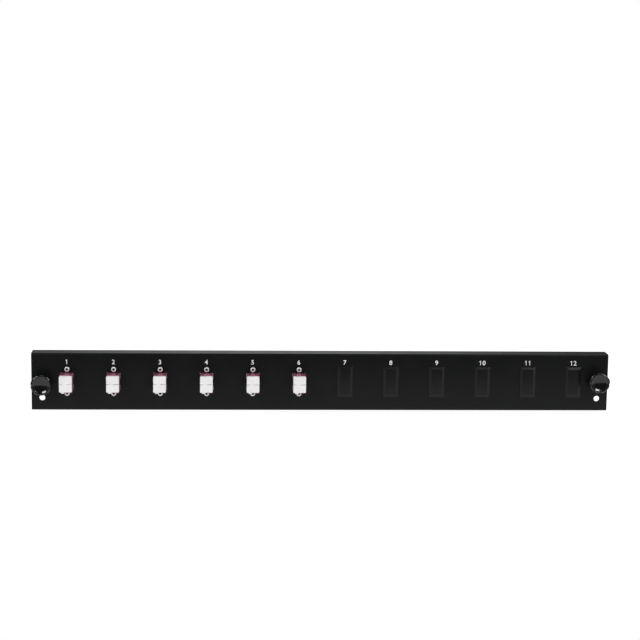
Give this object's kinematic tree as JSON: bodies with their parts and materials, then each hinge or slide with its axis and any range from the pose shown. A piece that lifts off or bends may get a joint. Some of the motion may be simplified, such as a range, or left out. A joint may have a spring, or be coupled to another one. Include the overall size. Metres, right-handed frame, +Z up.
{
  "type": "fibre adapter panel",
  "caption": "Folded black front plate with a row of numbered ports: capped duplex fibre adapters on the left, snap-in blanks on the right, and a push-pull latch at each end.",
  "frame": {"origin": "centre of the plate's flat rear face", "axes": "+X to the right seen from the front, +Z up, -Y towards the viewer in front of the panel"},
  "size_m": [0.426, 0.0351, 0.0426],
  "materials": {
    "panel_black": "satin powder coat on folded steel sheet",
    "housing_violet": "moulded, satin",
    "clip_steel": "thin spring steel",
    "screw_steel": "bright plated",
    "sleeve_white": "ground ceramic",
    "cap_white": "moulded, satin",
    "blank_black": "moulded, fine grain",
    "latch_black": "moulded, polished"
  },
  "bodies": {
    "panel": {"front_plate": "panel_black", "adapter_screws": "screw_steel", "adapter_nuts": "screw_steel", "adapter_1": "housing_violet", "adapter_clip_1": "clip_steel", "upper_sleeve_1": "sleeve_white", "lower_sleeve_1": "sleeve_white", "adapter_2": "housing_violet", "adapter_clip_2": "clip_steel", "upper_sleeve_2": "sleeve_white", "lower_sleeve_2": "sleeve_white", "adapter_3": "housing_violet", "adapter_clip_3": "clip_steel", "upper_sleeve_3": "sleeve_white", "lower_sleeve_3": "sleeve_white", "adapter_4": "housing_violet", "adapter_clip_4": "clip_steel", "upper_sleeve_4": "sleeve_white", "lower_sleeve_4": "sleeve_white", "adapter_5": "housing_violet", "adapter_clip_5": "clip_steel", "upper_sleeve_5": "sleeve_white", "lower_sleeve_5": "sleeve_white", "adapter_6": "housing_violet", "adapter_clip_6": "clip_steel", "upper_sleeve_6": "sleeve_white", "lower_sleeve_6": "sleeve_white", "blank_7": "blank_black", "blank_8": "blank_black", "blank_9": "blank_black", "blank_10": "blank_black", "blank_11": "blank_black", "blank_12": "blank_black", "latch_grommet_left": "latch_black", "latch_grommet_right": "latch_black"},
    "front_cap_1_body": {"front_cap_1": "cap_white"},
    "front_cap_2_body": {"front_cap_2": "cap_white"},
    "front_cap_3_body": {"front_cap_3": "cap_white"},
    "front_cap_4_body": {"front_cap_4": "cap_white"},
    "front_cap_5_body": {"front_cap_5": "cap_white"},
    "front_cap_6_body": {"front_cap_6": "cap_white"},
    "rear_cap_1_body": {"rear_cap_1": "cap_white"},
    "rear_cap_2_body": {"rear_cap_2": "cap_white"},
    "rear_cap_3_body": {"rear_cap_3": "cap_white"},
    "rear_cap_4_body": {"rear_cap_4": "cap_white"},
    "rear_cap_5_body": {"rear_cap_5": "cap_white"},
    "rear_cap_6_body": {"rear_cap_6": "cap_white"},
    "latch_knob_left_body": {"latch_knob_left": "latch_black"},
    "latch_knob_right_body": {"latch_knob_right": "latch_black"}
  },
  "joints": [
    {"name": "front_cap_1_pull", "type": "slide", "parent": "panel", "child": "front_cap_1_body", "axis": [0, -1, 0], "range_m": [0, 0.012]},
    {"name": "front_cap_2_pull", "type": "slide", "parent": "panel", "child": "front_cap_2_body", "axis": [0, -1, 0], "range_m": [0, 0.012]},
    {"name": "front_cap_3_pull", "type": "slide", "parent": "panel", "child": "front_cap_3_body", "axis": [0, -1, 0], "range_m": [0, 0.012]},
    {"name": "front_cap_4_pull", "type": "slide", "parent": "panel", "child": "front_cap_4_body", "axis": [0, -1, 0], "range_m": [0, 0.012]},
    {"name": "front_cap_5_pull", "type": "slide", "parent": "panel", "child": "front_cap_5_body", "axis": [0, -1, 0], "range_m": [0, 0.012]},
    {"name": "front_cap_6_pull", "type": "slide", "parent": "panel", "child": "front_cap_6_body", "axis": [0, -1, 0], "range_m": [0, 0.012]},
    {"name": "rear_cap_1_pull", "type": "slide", "parent": "panel", "child": "rear_cap_1_body", "axis": [0, 1, 0], "range_m": [0, 0.012]},
    {"name": "rear_cap_2_pull", "type": "slide", "parent": "panel", "child": "rear_cap_2_body", "axis": [0, 1, 0], "range_m": [0, 0.012]},
    {"name": "rear_cap_3_pull", "type": "slide", "parent": "panel", "child": "rear_cap_3_body", "axis": [0, 1, 0], "range_m": [0, 0.012]},
    {"name": "rear_cap_4_pull", "type": "slide", "parent": "panel", "child": "rear_cap_4_body", "axis": [0, 1, 0], "range_m": [0, 0.012]},
    {"name": "rear_cap_5_pull", "type": "slide", "parent": "panel", "child": "rear_cap_5_body", "axis": [0, 1, 0], "range_m": [0, 0.012]},
    {"name": "rear_cap_6_pull", "type": "slide", "parent": "panel", "child": "rear_cap_6_body", "axis": [0, 1, 0], "range_m": [0, 0.012]},
    {"name": "latch_knob_left_pull", "type": "slide", "parent": "panel", "child": "latch_knob_left_body", "axis": [0, -1, 0], "range_m": [0, 0.006]},
    {"name": "latch_knob_right_pull", "type": "slide", "parent": "panel", "child": "latch_knob_right_body", "axis": [0, -1, 0], "range_m": [0, 0.006]}
  ]
}
